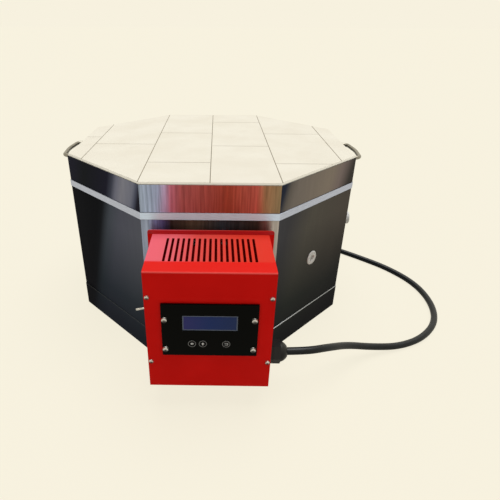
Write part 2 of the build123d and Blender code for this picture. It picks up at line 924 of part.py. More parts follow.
with BuildPart() as switch_nut:
    with BuildSketch(switch_plane):
        RegularPolygon(switch_nut_flats / 2, hex_sides, major_radius=False)
        Circle(switch_bush_radius + thread_clearance, mode=Mode.SUBTRACT)
    extrude(amount=switch_nut_height)
finish(switch_nut, "switch_nut")

# Lever at rest in its lower, off position: a ball at the pivot, a taper and a round tip
tilt = math.radians(lever_tilt)
lever_pivot_point = switch_plane.origin + switch_plane.z_dir * lever_pivot
lever_direction = switch_plane.z_dir * math.cos(tilt) - Vector(0, 0, math.sin(tilt))
ball_end = math.sqrt(lever_ball_radius**2 - lever_root_radius**2)
half_circle = 180.0
ball_sweep = math.degrees(math.atan2(lever_root_radius, ball_end)) - half_circle
tip_centre = lever_length - lever_tip_radius
with BuildPart() as switch_lever:
    with BuildSketch(Plane(origin=lever_pivot_point, x_dir=lever_direction, z_dir=(0, 1, 0))):
        with BuildLine():
            CenterArc((0, 0), lever_ball_radius, half_circle, ball_sweep)
            Line((ball_end, lever_root_radius), (tip_centre, lever_tip_radius))
            CenterArc((tip_centre, 0), lever_tip_radius, 90, -90)
            Line((lever_length, 0), (-lever_ball_radius, 0))
        make_face()
    revolve(axis=Axis(lever_pivot_point, lever_direction))
finish(switch_lever, "switch_lever")

# Cord gland: body through the wall, domed nut outside, locknut inside
neck_end = gland_hex_height + gland_neck_length
with BuildPart() as gland_body:
    with BuildSketch(gland_plane):
        RegularPolygon(gland_flats / 2, hex_sides, major_radius=False)
    extrude(amount=gland_hex_height)
    pin(gland_plane, gland_thread_radius, -gland_inside)
    pin(gland_plane.offset(gland_hex_height), gland_neck_radius, gland_neck_length)
    drill(gland_plane.offset(neck_end), gland_bore, neck_end + gland_inside)
finish(gland_body, "gland_body")

gland_shoulder = gland_nut_start + gland_nut_hex
with BuildPart() as gland_nut:
    with BuildSketch(gland_plane.offset(gland_nut_start)):
        RegularPolygon(gland_flats / 2, hex_sides, major_radius=False)
    extrude(amount=gland_nut_hex)
    with BuildSketch(Plane(origin=gland_plane.origin, x_dir=(1, 0, 0), z_dir=(0, -1, 0))):
        with BuildLine():
            Line((gland_shoulder, 0), (gland_shoulder, gland_dome_radius))
            RadiusArc((gland_shoulder, gland_dome_radius), (gland_length, gland_nose_radius), gland_flats / 2)
            Line((gland_length, gland_nose_radius), (gland_length, 0))
            Line((gland_length, 0), (gland_shoulder, 0))
        make_face()
    revolve(axis=Axis(gland_plane.origin, (1, 0, 0)))
    chamber_end = neck_end + gland_play
    drill(gland_plane.offset(chamber_end), gland_neck_radius + thread_clearance, chamber_end)
    drill(gland_plane.offset(gland_length - cord_grip), gland_bore, gland_length)
    drill(gland_plane.offset(gland_length), cord_radius - cord_press, cord_grip)
finish(gland_nut, "gland_nut")

with BuildPart() as gland_locknut:
    with BuildSketch(gland_plane.offset(-box_sheet)):
        RegularPolygon(gland_locknut_flats / 2, hex_sides, major_radius=False)
        Circle(gland_thread_radius, mode=Mode.SUBTRACT)
    extrude(amount=-gland_locknut_height)
finish(gland_locknut, "gland_locknut")


def tangent_radii(route):
    """Radius of the arc at each corner of a route, from its shorter run and its turn."""
    radii = []
    for before, corner, after in zip(route, route[1:], route[2:]):
        incoming = Vector(*corner) - Vector(*before)
        outgoing = Vector(*after) - Vector(*corner)
        half_turn = math.radians(incoming.get_angle(outgoing)) / 2
        radii.append(arc_share * min(incoming.length, outgoing.length) / math.tan(half_turn))
    return radii


def tube(route):
    """Round cord along a route of straight runs joined by arcs."""
    radii = tangent_radii(route)
    print("cord radii:", [round(radius) for radius in radii])
    with BuildLine() as path:
        FilletPolyline(*route, radius=radii)
    with BuildSketch(Plane(origin=route[0], z_dir=path.line % 0)) as section:
        Circle(cord_radius)
    sweep(section.sketch, path=path.line)


# Cord: straight out of the gland, down to the floor in a curve, round behind the kiln
cord_start = gland_plane.origin.X + gland_length - cord_grip
cord_y = gland_plane.origin.Y
cord_z = gland_plane.origin.Z
coil_entry = (coil_centre_x + coil_turn_radius, coil_centre_y, cord_radius)
cord_route = [
    (cord_start, cord_y, cord_z),
    (cord_start + 42.0, cord_y, cord_z),
    (205.0, -345.0, 66.0),
    (254.0, -304.0, 38.0),
    (310.0, -280.0, 16.0),
    (372.0, -264.0, cord_radius),
    (430.0, -236.0, cord_radius),
    (479.0, -181.0, cord_radius),
    (499.0, -108.0, cord_radius),
    (492.0, -30.0, cord_radius),
    (452.0, 40.0, cord_radius),
    (400.0, 92.0, cord_radius),
    (337.0, 147.0, cord_radius),
    (278.0, 196.0, cord_radius),
    (226.0, 256.0, cord_radius),
    (coil_entry[0], 322.0, cord_radius),
    coil_entry,
]
with BuildPart() as power_cord:
    tube(cord_route)
finish(power_cord, "power_cord")

# The rest of the cord lies behind the kiln in a coil, and its end leads into the plug
coil_top = coil_height - cord_radius
tail_y = coil_centre_y + coil_turn_radius
tail_route = [
    (coil_centre_x, tail_y, coil_top),
    (coil_centre_x - 32.0, tail_y, coil_top),
    (coil_centre_x - 92.0, tail_y, plug_axis_z),
    (plug_mouth_x - cord_grip, tail_y, plug_axis_z),
]
with BuildPart() as cord_coil:
    coil_half_width = cord_radius + coil_slack
    with BuildSketch(Plane(origin=(coil_centre_x, coil_centre_y, 0))):
        Circle(coil_turn_radius + coil_half_width)
        Circle(coil_turn_radius - coil_half_width, mode=Mode.SUBTRACT)
    extrude(amount=coil_height + coil_slack)
    notch = 2 * (coil_half_width + coil_slack)
    with BuildSketch(Plane(origin=coil_entry, x_dir=(1, 0, 0), z_dir=(0, -1, 0))):
        Rectangle(notch, notch)
    with BuildSketch(Plane(origin=tail_route[0], x_dir=(0, 1, 0), z_dir=(-1, 0, 0))):
        Rectangle(notch, notch)
    extrude(amount=coil_turn_radius, mode=Mode.SUBTRACT)
finish(cord_coil, "cord_coil")

with BuildPart() as cord_tail:
    tube(tail_route)
finish(cord_tail, "cord_tail")

# Mains plug, lying on the floor at the end of the cord
plug_plane = Plane(origin=(plug_mouth_x, tail_y, plug_axis_z), x_dir=(0, -1, 0), z_dir=(-1, 0, 0))
with BuildPart() as plug_body:
    with BuildSketch(plug_plane.offset(plug_sleeve_length)):
        RectangleRounded(2 * plug_half_width, 2 * plug_axis_z, plug_round)
    extrude(amount=plug_body_length)
    fillet(plug_body.faces().sort_by(Axis.X)[-1].edges(), plug_round / 2)
    pin(plug_plane, plug_sleeve_radius, plug_sleeve_length)
    with BuildSketch(plug_plane):
        Circle(cord_radius - cord_press)
    extrude(amount=cord_grip, mode=Mode.SUBTRACT)
finish(plug_body, "plug_body")

with BuildPart() as plug_pins:
    pin_plane = plug_plane.offset(plug_sleeve_length + plug_body_length)
    with BuildSketch(pin_plane):
        with Locations((-blade_spacing / 2, blade_offset), (blade_spacing / 2, blade_offset)):
            Rectangle(blade_sheet, blade_width)
    extrude(amount=blade_length)
    with BuildSketch(pin_plane):
        with Locations((0, -earth_offset)):
            Circle(earth_radius)
    extrude(amount=earth_length)
finish(plug_pins, "plug_pins")
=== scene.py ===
import math

import bpy
import numpy as np
from mathutils import Matrix, Vector


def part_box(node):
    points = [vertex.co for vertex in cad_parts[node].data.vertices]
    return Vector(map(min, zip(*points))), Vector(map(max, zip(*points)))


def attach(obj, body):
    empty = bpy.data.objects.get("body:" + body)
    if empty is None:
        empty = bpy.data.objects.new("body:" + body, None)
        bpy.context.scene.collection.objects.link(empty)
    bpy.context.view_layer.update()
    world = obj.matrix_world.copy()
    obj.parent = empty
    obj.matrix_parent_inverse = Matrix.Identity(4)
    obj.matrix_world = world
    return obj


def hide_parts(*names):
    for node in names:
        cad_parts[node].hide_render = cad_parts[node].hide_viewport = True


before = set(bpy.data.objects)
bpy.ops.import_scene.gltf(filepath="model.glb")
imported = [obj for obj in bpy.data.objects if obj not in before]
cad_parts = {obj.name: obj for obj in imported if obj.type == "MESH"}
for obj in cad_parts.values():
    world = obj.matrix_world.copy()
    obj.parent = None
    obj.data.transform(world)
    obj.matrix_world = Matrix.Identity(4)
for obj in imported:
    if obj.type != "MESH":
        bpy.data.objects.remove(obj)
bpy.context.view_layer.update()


# Camera: held a little above the kiln and close to it, looking down on the lid and the control
# box. The place, the angles and the lens were solved from the corners of the stainless jacket.
camera_place = Vector((0.0093, -0.9383, 0.5735))
camera_yaw = math.radians(-0.728)
camera_pitch = math.radians(-27.97)
camera_roll = math.radians(0.275)
lens_mm = 31.57
lens_shift = 0.0796
ahead = Vector(
    (
        math.sin(camera_yaw) * math.cos(camera_pitch),
        math.cos(camera_yaw) * math.cos(camera_pitch),
        math.sin(camera_pitch),
    )
)
level_right = Vector((math.cos(camera_yaw), -math.sin(camera_yaw), 0))
level_up = level_right.cross(ahead)
camera_right = level_right * math.cos(camera_roll) + level_up * math.sin(camera_roll)
camera_up = level_up * math.cos(camera_roll) - level_right * math.sin(camera_roll)
camera_data = bpy.data.cameras.new("camera")
camera_data.lens = lens_mm
camera_data.shift_x = lens_shift
camera = bpy.data.objects.new("camera", camera_data)
camera.matrix_world = Matrix.Translation(camera_place) @ Matrix(
    (camera_right, camera_up, -ahead)
).transposed().to_4x4()
bpy.context.collection.objects.link(camera)
bpy.context.scene.camera = camera
bpy.context.scene.view_settings.view_transform = "Standard"


# Mains cord: a heavy round lead in black rubber. It leaves the gland straight, comes down to the
# floor, runs back round the kiln's right side, and the rest of it is wound into a coil behind.
def paint(hex_code):
    """A colour written as sRGB hex, turned to linear red, green, blue and alpha."""
    channels = np.array([int(hex_code[place : place + 2], 16) for place in (1, 3, 5)]) / 255
    linear = np.where(channels <= 0.04045, channels / 12.92, ((channels + 0.055) / 1.055) ** 2.4)
    return (*linear.tolist(), 1.0)


def feed(tree, node, inputs):
    """Set inputs by name or place, each to a value, an output or a node's first live output."""
    live = [socket for socket in node.inputs if socket.enabled]
    for name, value in inputs.items():
        socket = live[name] if isinstance(name, int) else next(s for s in live if s.name == name)
        if isinstance(value, bpy.types.Node):
            value = next(output for output in value.outputs if output.enabled)
        if isinstance(value, bpy.types.NodeSocket):
            tree.links.new(value, socket)
        else:
            socket.default_value = value


def add(tree, kind, settings, inputs):
    """Add a shader node with its settings and inputs. Stops are places and colours of a ramp."""
    node = tree.nodes.new("ShaderNode" + kind)
    for name, value in settings.items():
        if name == "stops":
            elements = node.color_ramp.elements
            while len(elements) < len(value):
                elements.new(0.5)
            for element, (place, colour) in zip(elements, value):
                element.position = place
                element.color = paint(colour)
        else:
            setattr(node, name, value)
    feed(tree, node, inputs)
    return node


def new_finish(name, inputs):
    """A new material, its node tree and its one shader, whose plain inputs are set here."""
    material = bpy.data.materials.new(name)
    material.use_nodes = True
    tree = material.node_tree
    shader = tree.nodes["Principled BSDF"]
    feed(tree, shader, inputs)
    return material, tree, shader


# Extruded rubber: black, slightly greyed by handling, with faint scuffs. Its upper side has a soft
# sheen from the lamp, and its underside stays dull. The grain is drawn coarser than it is, so that
# it shows.
rubber, tree, shader = new_finish("extruded_rubber", {"IOR": 1.52})
place = add(tree, "TexCoord", {}, {}).outputs
facing = add(tree, "SeparateXYZ", {}, {"Vector": place["Normal"]}).outputs
upper_gloss = add(
    tree,
    "MapRange",
    {},
    {"Value": facing["Z"], "From Min": -0.5, "From Max": 1.0, "To Min": 0.03, "To Max": 0.32},
)
scuff_mm = 9.0
scuffs = add(
    tree,
    "TexNoise",
    {},
    {"Vector": place["Object"], "Scale": 1000 / scuff_mm, "Detail": 5.0, "Roughness": 0.6},
)
tone = add(tree, "ValToRGB", {"stops": ((0.35, "#06090C"), (0.7, "#0F161C"))}, {"Fac": scuffs})
handled = add(tree, "MapRange", {}, {"Value": scuffs, "To Min": 0.30, "To Max": 0.46})
grain_mm = 0.6
grain = add(
    tree, "TexNoise", {}, {"Vector": place["Object"], "Scale": 1000 / grain_mm, "Detail": 2.0}
)
relief = add(tree, "Bump", {}, {"Height": grain, "Strength": 0.12, "Distance": 0.0002})
feed(
    tree,
    shader,
    {"Base Color": tone, "Specular IOR Level": upper_gloss, "Roughness": handled, "Normal": relief},
)

# The points up to the kiln's back follow the cord in the photograph. The coil is a guess.
cord_radius = 0.0065
cord_exit = (0.123, -0.365141, 0.078)
coil_centre = (0.130, 0.388)
coil_radius = 0.073
coil_turns = 2.25
points_per_turn = 20
route = [
    cord_exit,
    (0.165, -0.365141, 0.079),
    (0.205, -0.345, 0.070),
    (0.254, -0.304, 0.042),
    (0.310, -0.280, 0.018),
    (0.372, -0.264, cord_radius),
    (0.430, -0.236, cord_radius),
    (0.479, -0.181, cord_radius),
    (0.499, -0.108, cord_radius),
    (0.492, -0.030, cord_radius),
    (0.452, 0.040, cord_radius),
    (0.400, 0.092, cord_radius),
    (0.337, 0.147, cord_radius),
    (0.278, 0.196, cord_radius),
    (0.226, 0.256, cord_radius),
    (0.203, 0.322, cord_radius),
]
for step in range(round(coil_turns * points_per_turn) + 1):
    turn = step / points_per_turn
    angle = 2 * math.pi * turn
    route.append(
        (
            coil_centre[0] + coil_radius * math.cos(angle),
            coil_centre[1] + coil_radius * math.sin(angle),
            cord_radius * (1 + 2 * turn),
        )
    )
coil_top = cord_radius * (1 + 2 * coil_turns)
tail_y = coil_centre[1] + coil_radius
plug_axis = 0.014
route += [(0.098, tail_y, coil_top), (0.038, tail_y, plug_axis), (0.0, tail_y, plug_axis)]
cord_curve = bpy.data.curves.new("mains_cord", "CURVE")
cord_curve.dimensions = "3D"
cord_curve.bevel_depth = cord_radius
cord_curve.bevel_resolution = 5
cord_curve.use_fill_caps = True
line = cord_curve.splines.new("NURBS")
line.points.add(len(route) - 1)
line.points.foreach_set("co", [value for point in route for value in (*point, 1.0)])
line.order_u = 3
line.use_endpoint_u = True
line.resolution_u = 8
cord_curve.materials.append(rubber)
mains_cord = bpy.data.objects.new("mains_cord", cord_curve)
bpy.context.collection.objects.link(mains_cord)
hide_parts("power_cord", "cord_coil", "cord_tail")
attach(mains_cord, "kiln")


# Mains plug: a body and a sleeve moulded onto the cord's end in the same rubber, and three solid
# brass pins set in it. It lies on the floor at the end of the coil.
def dress(names, material):
    """Give a material to every slot of the named pieces."""
    for name in names:
        for slot in bpy.data.objects[name].material_slots:
            slot.material = material


dress(["plug_body"], rubber)

# Machined brass: a clear yellow with turning marks, drawn ten times as coarse as they are so that
# they show. A wave texture runs through 20 radians in each unit of its scale.
brass, tree, shader = new_finish("machined_brass", {"Metallic": 1.0, "Roughness": 0.24})
place = add(tree, "TexCoord", {}, {}).outputs
turning_mm = 1.5
wave_unit = 2 * math.pi / 20
marks = add(
    tree,
    "TexWave",
    {"wave_type": "BANDS", "bands_direction": "X"},
    {
        "Vector": place["Object"],
        "Scale": 1000 / turning_mm * wave_unit,
        "Distortion": 1.5,
        "Detail": 2.0,
    },
)
tone = add(tree, "ValToRGB", {"stops": ((0.0, "#C29A4C"), (1.0, "#DDBB6E"))}, {"Fac": marks})
feed(tree, shader, {"Base Color": tone})
dress(["plug_pins"], brass)


# Cord gland: a hexagonal body and a domed nut moulded in black nylon, screwed through the box's
# right wall and held by a locknut inside. The dome is the lead's strain relief.

# Moulded nylon: a deep black, glossier where it faces the lamp, with a faintly uneven skin that is
# drawn coarser than it is, so that it shows.
nylon, tree, shader = new_finish("moulded_nylon", {"IOR": 1.53})
place = add(tree, "TexCoord", {}, {}).outputs
facing = add(tree, "SeparateXYZ", {}, {"Vector": place["Normal"]}).outputs
upper_gloss = add(
    tree,
    "MapRange",
    {},
    {"Value": facing["Z"], "From Min": -0.5, "From Max": 0.9, "To Min": 0.02, "To Max": 0.36},
)
mould_mm = 1.2
mould = add(
    tree, "TexNoise", {}, {"Vector": place["Object"], "Scale": 1000 / mould_mm, "Detail": 3.0}
)
tone = add(tree, "ValToRGB", {"stops": ((0.3, "#080809"), (0.8, "#131314"))}, {"Fac": mould})
gloss = add(tree, "MapRange", {}, {"Value": mould, "To Min": 0.26, "To Max": 0.42})
relief = add(tree, "Bump", {}, {"Height": mould, "Strength": 0.1, "Distance": 0.0002})
feed(
    tree,
    shader,
    {"Base Color": tone, "Specular IOR Level": upper_gloss, "Roughness": gloss, "Normal": relief},
)
dress(["gland_body", "gland_nut", "gland_locknut"], nylon)


# Firebricks: insulating bricks, sawn from porous clay and burnt at a high heat, cemented into a
# floor slab, two courses of wall and the lid slab. The cut faces are full of fine pores.
def firebrick(name, light, dark, pore_colour, joint=None):
    """Sawn insulating brick. A joint is level: it has a low and a high end and a colour."""
    material, tree, shader = new_finish(
        name, {"IOR": 1.45, "Specular IOR Level": 0.2, "Roughness": 0.92}
    )
    place = add(tree, "TexCoord", {}, {}).outputs
    cloud_mm = 70.0
    cloud = add(
        tree,
        "TexNoise",
        {},
        {"Vector": place["Object"], "Scale": 1000 / cloud_mm, "Detail": 6.0, "Roughness": 0.55},
    )
    clay = add(tree, "ValToRGB", {"stops": ((0.35, dark), (0.65, light))}, {"Fac": cloud})
    pore_mm = 2.2
    pores = add(
        tree,
        "TexVoronoi",
        {"feature": "F1"},
        {"Vector": place["Object"], "Scale": 1000 / pore_mm, "Randomness": 1.0},
    )
    pore_mask = add(
        tree,
        "MapRange",
        {},
        {"Value": pores, "From Min": 0.05, "From Max": 0.30, "To Min": 1.0, "To Max": 0.0},
    )
    patch_mm = 8.0
    patches = add(
        tree, "TexNoise", {}, {"Vector": place["Object"], "Scale": 1000 / patch_mm, "Detail": 2.0}
    )
    open_mask = add(tree, "MapRange", {}, {"Value": patches, "From Min": 0.45, "From Max": 0.75})
    pore_depth = add(tree, "Math", {"operation": "MULTIPLY"}, {0: pore_mask, 1: open_mask})
    clay = add(
        tree,
        "Mix",
        {"data_type": "RGBA"},
        {"Factor": pore_depth, "A": clay, "B": paint(pore_colour)},
    )
    if joint:
        joint_low, joint_high, joint_colour = joint
        height = add(tree, "SeparateXYZ", {}, {"Vector": place["Object"]}).outputs
        below = add(tree, "Math", {"operation": "LESS_THAN"}, {0: height["Z"], 1: joint_high})
        above = add(tree, "Math", {"operation": "GREATER_THAN"}, {0: height["Z"], 1: joint_low})
        level_normal = 0.9
        level = add(tree, "SeparateXYZ", {}, {"Vector": place["Normal"]}).outputs
        flat = add(tree, "Math", {"operation": "GREATER_THAN"}, {0: level["Z"], 1: level_normal})
        lowered = add(tree, "Math", {"operation": "MULTIPLY"}, {0: below, 1: above})
        in_joint = add(tree, "Math", {"operation": "MULTIPLY"}, {0: lowered, 1: flat})
        clay = add(
            tree,
            "Mix",
            {"data_type": "RGBA"},
            {"Factor": in_joint, "A": clay, "B": paint(joint_colour)},
        )
    grit_mm = 1.0
    grit = add(
        tree, "TexNoise", {}, {"Vector": place["Object"], "Scale": 1000 / grit_mm, "Detail": 3.0}
    )
    rough = add(tree, "Math", {"operation": "SUBTRACT"}, {0: grit, 1: pore_depth})
    relief = add(tree, "Bump", {}, {"Height": rough, "Strength": 0.35, "Distance": 0.0004})
    feed(tree, shader, {"Base Color": clay, "Normal": relief})
    return material


# The lid's top is rubbed smooth and coated, so its clay is paler than the walls of the chamber.
# The joints of the lid and the floor lie a little below the bricks' faces, and look darker.
lid_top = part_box("lid_slab")[1][2]
floor_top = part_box("floor_slab")[1][2]
joint_face = 0.0003
edge_depth = 0.0011
lid_joint = (lid_top - edge_depth, lid_top - joint_face, "#8E8471")
floor_joint = (floor_top - edge_depth, floor_top - joint_face, "#A59A84")
sawn_clay = ("#F2EADB", "#E8DCC6", "#CBB999")
lid_brick = firebrick("rubbed_firebrick", "#F1EBDA", "#ECE5D3", "#DBD1BC", lid_joint)
wall_brick = firebrick("sawn_firebrick", *sawn_clay)
floor_brick = firebrick("sawn_firebrick_floor", *sawn_clay, floor_joint)
dress(["lid_slab"], lid_brick)
dress(["floor_slab"], floor_brick)
sides = ("front", "front_right", "right", "back_right", "back", "back_left", "left", "front_left")
dress([f"{course}_brick_{side}" for course in ("lower", "upper") for side in sides], wall_brick)


# Jacket, tray and lid band: polished stainless sheet, folded at the eight corners and lapped at
# the back. A mirror finish, whose reflections of the room, dark at the sides and bright in front,
# are painted into its colour by place and direction, as the studio is empty.
stainless, tree, shader = new_finish(
    "polished_stainless",
    {
        "Metallic": 1.0,
        "Specular Tint": paint("#C4C4C8"),
        "Anisotropic": 0.9,
        "Anisotropic Rotation": 0.25,
    },
)
grain_line = add(tree, "Tangent", {"direction_type": "RADIAL", "axis": "Z"}, {})
place = add(tree, "TexCoord", {}, {}).outputs
spot = add(tree, "SeparateXYZ", {}, {"Vector": place["Object"]}).outputs
facing = add(tree, "SeparateXYZ", {}, {"Vector": place["Normal"]}).outputs

# Painted reflection on the sides: a dark room, whose border leans outwards towards the floor.
lean = 0.24
lean_start = 0.315
drop = add(tree, "Math", {"operation": "SUBTRACT"}, {0: lean_start, 1: spot["Z"]})
leaning = add(tree, "Math", {"operation": "MULTIPLY_ADD"}, {0: drop, 1: lean, 2: spot["X"]})
left_end = -0.3
right_end = 0.4
across = add(tree, "MapRange", {}, {"Value": leaning, "From Min": left_end, "From Max": right_end})
jacket_painted_reflection = add(
    tree,
    "ValToRGB",
    {
        "stops": (
            (0.145, "#0B0D0D"),
            (0.162, "#14171A"),
            (0.186, "#454C58"),
            (0.220, "#545767"),
            (0.30, "#5A5D6A"),
            (0.64, "#444449"),
            (0.71, "#585550"),
            (0.84, "#554F4A"),
            (1.0, "#3B3733"),
        ),
    },
    {"Fac": across},
)
band_painted_reflection = add(
    tree,
    "ValToRGB",
    {
        "stops": (
            (0.05, "#1E1F2B"),
            (0.09, "#181B1D"),
            (0.168, "#1F1F2E"),
            (0.184, "#434759"),
            (0.197, "#74778C"),
            (0.215, "#868899"),
            (0.244, "#777B8F"),
            (0.253, "#54596F"),
            (0.262, "#23232E"),
            (0.597, "#2A3040"),
            (0.613, "#67625F"),
            (0.632, "#7A736F"),
            (0.74, "#8A8077"),
            (0.775, "#807473"),
            (0.812, "#423F3C"),
        ),
    },
    {"Fac": across},
)
band_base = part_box("lid_band")[0][2]
band_blend = 0.006
on_band = add(
    tree,
    "MapRange",
    {},
    {"Value": spot["Z"], "From Min": band_base - band_blend, "From Max": band_base},
)
side_painted_reflection = add(
    tree, "Mix", {"data_type": "RGBA"}, {"Factor": on_band, "A": jacket_painted_reflection, "B": band_painted_reflection}
)

# Painted reflection on the front: the red box and the floor before it, and on the jacket also
# the dark gap over the box.
front_half_width = 0.115
front_across = add(
    tree,
    "MapRange",
    {},
    {"Value": spot["X"], "From Min": -front_half_width, "From Max": front_half_width},
)
front_band_painted_reflection = add(
    tree,
    "ValToRGB",
    {
        "stops": (
            (0.0, "#AEBDD8"),
            (0.14, "#B0BDE3"),
            (0.19, "#C6B6E0"),
            (0.225, "#CC8098"),
            (0.30, "#C06A6C"),
            (0.62, "#B1503F"),
            (0.83, "#CA6C60"),
            (0.88, "#AE8060"),
            (1.0, "#9C8566"),
        ),
    },
    {"Fac": front_across},
)
front_jacket_painted_reflection = add(
    tree,
    "ValToRGB",
    {
        "stops": (
            (0.05, "#A3AEC9"),
            (0.10, "#9093CC"),
            (0.16, "#6C66A4"),
            (0.22, "#4B3A39"),
            (0.40, "#6B584B"),
            (0.58, "#444651"),
            (0.84, "#4D3B35"),
            (0.90, "#885D5B"),
            (0.95, "#CAC1BC"),
        ),
    },
    {"Fac": front_across},
)
front_painted_reflection = add(
    tree,
    "Mix",
    {"data_type": "RGBA"},
    {"Factor": on_band, "A": front_jacket_painted_reflection, "B": front_band_painted_reflection},
)
sideways = add(tree, "Math", {"operation": "ABSOLUTE"}, {0: facing["X"]})
front_tilt = 0.2
side_tilt = 0.6
to_side = add(
    tree, "MapRange", {}, {"Value": sideways, "From Min": front_tilt, "From Max": side_tilt}
)
room_painted_reflection = add(
    tree, "Mix", {"data_type": "RGBA"}, {"Factor": to_side, "A": front_painted_reflection, "B": side_painted_reflection}
)

# Painted reflection of the dark floor beside it: darker low down.
fall_top = 0.3
fall = add(tree, "MapRange", {}, {"Value": spot["Z"], "From Max": fall_top})
dark_floor_painted_reflection = add(
    tree,
    "ValToRGB",
    {"stops": ((0.05, "#666E76"), (0.3, "#8C9A9D"), (0.8, "#FFFFFF"))},
    {"Fac": fall},
)
darkened_low_painted_reflection = add(
    tree,
    "Mix",
    {"data_type": "RGBA", "blend_type": "MULTIPLY"},
    {"Factor": 1.0, "A": room_painted_reflection, "B": dark_floor_painted_reflection},
)

# The five facets turned away from the box carry a painted reflection of a plain grey room,
# lighter towards the top.
forward_normal = -0.35
forward = add(tree, "Math", {"operation": "LESS_THAN"}, {0: facing["Y"], 1: forward_normal})
back_room_painted_reflection = add(
    tree,
    "ValToRGB",
    {"stops": ((0.0, "#45484D"), (0.35, "#5D6066"), (0.85, "#7C7F84"), (1.0, "#74777C"))},
    {"Fac": fall},
)
reflection_painted_by_facing = add(
    tree, "Mix", {"data_type": "RGBA"}, {"Factor": forward, "A": back_room_painted_reflection, "B": darkened_low_painted_reflection}
)

# Upright streaks from polishing, drawn a few millimetres apart so that they show. They are
# strongest on the front.
streak_mm = 4.0
streak_stretch = 25
stretch = add(tree, "Mapping", {}, {"Vector": place["Object"], "Scale": (1, 1, 1 / streak_stretch)})
streaks = add(
    tree,
    "TexNoise",
    {},
    {"Vector": stretch, "Scale": 1000 / streak_mm, "Detail": 4.0, "Roughness": 0.55},
)
least_streak = 0.25
to_front = add(tree, "MapRange", {}, {"Value": to_side, "To Min": 1.0, "To Max": 0.0})
front_streak = add(tree, "Math", {"operation": "MULTIPLY"}, {0: to_front, 1: forward})
streak_show = add(tree, "Math", {"operation": "MAXIMUM"}, {0: front_streak, 1: least_streak})
streak_tone = add(
    tree, "ValToRGB", {"stops": ((0.3, "#BCBCBC"), (0.7, "#FFFFFF"))}, {"Fac": streaks}
)
streaked = add(
    tree,
    "Mix",
    {"data_type": "RGBA", "blend_type": "MULTIPLY"},
    {"Factor": streak_show, "A": reflection_painted_by_facing, "B": streak_tone},
)

# A thin painted shadow line where the band meets the frame under it.
seam_half = 0.0006
seam_low = band_base - seam_half
seam_high = band_base + seam_half
over_low = add(tree, "Math", {"operation": "GREATER_THAN"}, {0: spot["Z"], 1: seam_low})
under_high = add(tree, "Math", {"operation": "LESS_THAN"}, {0: spot["Z"], 1: seam_high})
in_seam = add(tree, "Math", {"operation": "MULTIPLY"}, {0: over_low, 1: under_high})
with_painted_seam_shadow = add(
    tree, "Mix", {"data_type": "RGBA"}, {"Factor": in_seam, "A": streaked, "B": paint("#1C1C22")}
)

# A painted highlight along the tray's cut upper edge, strongest on the right.
tray_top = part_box("base_tray")[1][2]
edge_deep = 0.0014
edge_over = 0.0001
edge_low = tray_top - edge_deep
edge_high = tray_top + edge_over
above = add(tree, "Math", {"operation": "GREATER_THAN"}, {0: spot["Z"], 1: edge_low})
below = add(tree, "Math", {"operation": "LESS_THAN"}, {0: spot["Z"], 1: edge_high})
on_edge = add(tree, "Math", {"operation": "MULTIPLY"}, {0: above, 1: below})
shine_reach = 0.1
right_side = add(
    tree, "MapRange", {}, {"Value": spot["X"], "From Min": -shine_reach, "From Max": shine_reach}
)
edge_highlight_strength = add(tree, "MapRange", {}, {"Value": right_side, "To Min": 0.04, "To Max": 0.9})
painted_edge_highlight = add(tree, "Math", {"operation": "MULTIPLY"}, {0: on_edge, 1: edge_highlight_strength})
toned = add(
    tree, "Mix", {"data_type": "RGBA"}, {"Factor": painted_edge_highlight, "A": with_painted_seam_shadow, "B": paint("#D4D8DE")}
)
polish = add(tree, "MapRange", {}, {"Value": streaks, "To Min": 0.34, "To Max": 0.46})
buckle_mm = 120.0
buckle = add(tree, "TexNoise", {}, {"Vector": stretch, "Scale": 1000 / buckle_mm, "Detail": 1.0})
relief = add(tree, "Bump", {}, {"Height": buckle, "Strength": 0.25, "Distance": 0.002})
feed(
    tree,
    shader,
    {"Base Color": toned, "Roughness": polish, "Tangent": grain_line, "Normal": relief},
)
dress(["body_jacket", "base_tray", "lid_band"], stainless)


# Lid frame: angle bent from brushed stainless, round the lid's lower edge. The bricks sit in it
# and the band stands on it. Brushed lengthwise, so it looks pale and even beside the mirror.
brushed, tree, shader = new_finish(
    "brushed_stainless",
    {"Metallic": 1.0, "Roughness": 0.48, "Anisotropic": 0.9, "Anisotropic Rotation": 0.25},
)
grain_line = add(tree, "Tangent", {"direction_type": "RADIAL", "axis": "Z"}, {})
place = add(tree, "TexCoord", {}, {}).outputs

# The strokes are drawn five times as coarse as they are, so that they show.
brush_mm = 0.5
brush_stretch = 25
stroke = add(
    tree,
    "Mapping",
    {},
    {"Vector": place["Object"], "Scale": (1 / brush_stretch, 1 / brush_stretch, 1)},
)
strokes = add(tree, "TexNoise", {}, {"Vector": stroke, "Scale": 1000 / brush_mm, "Detail": 3.0})
facing = add(tree, "SeparateXYZ", {}, {"Vector": place["Normal"]}).outputs
# Painted reflection: the front faces are a paler, bluer tone than the rest of the frame.
front_normal = -0.9
ahead_faces = add(tree, "Math", {"operation": "LESS_THAN"}, {0: facing["Y"], 1: front_normal})
frame_painted_reflection = add(
    tree,
    "Mix",
    {"data_type": "RGBA"},
    {"Factor": ahead_faces, "A": paint("#CCD3E8"), "B": paint("#D9E8FF")},
)
stroke_tone = add(
    tree, "ValToRGB", {"stops": ((0.3, "#E4E4E4"), (0.7, "#FFFFFF"))}, {"Fac": strokes}
)
brushed_tone = add(
    tree,
    "Mix",
    {"data_type": "RGBA", "blend_type": "MULTIPLY"},
    {"Factor": 1.0, "A": frame_painted_reflection, "B": stroke_tone},
)
relief = add(tree, "Bump", {}, {"Height": strokes, "Strength": 0.15, "Distance": 0.0002})
feed(tree, shader, {"Base Color": brushed_tone, "Tangent": grain_line, "Normal": relief})
dress(["lid_frame"], brushed)


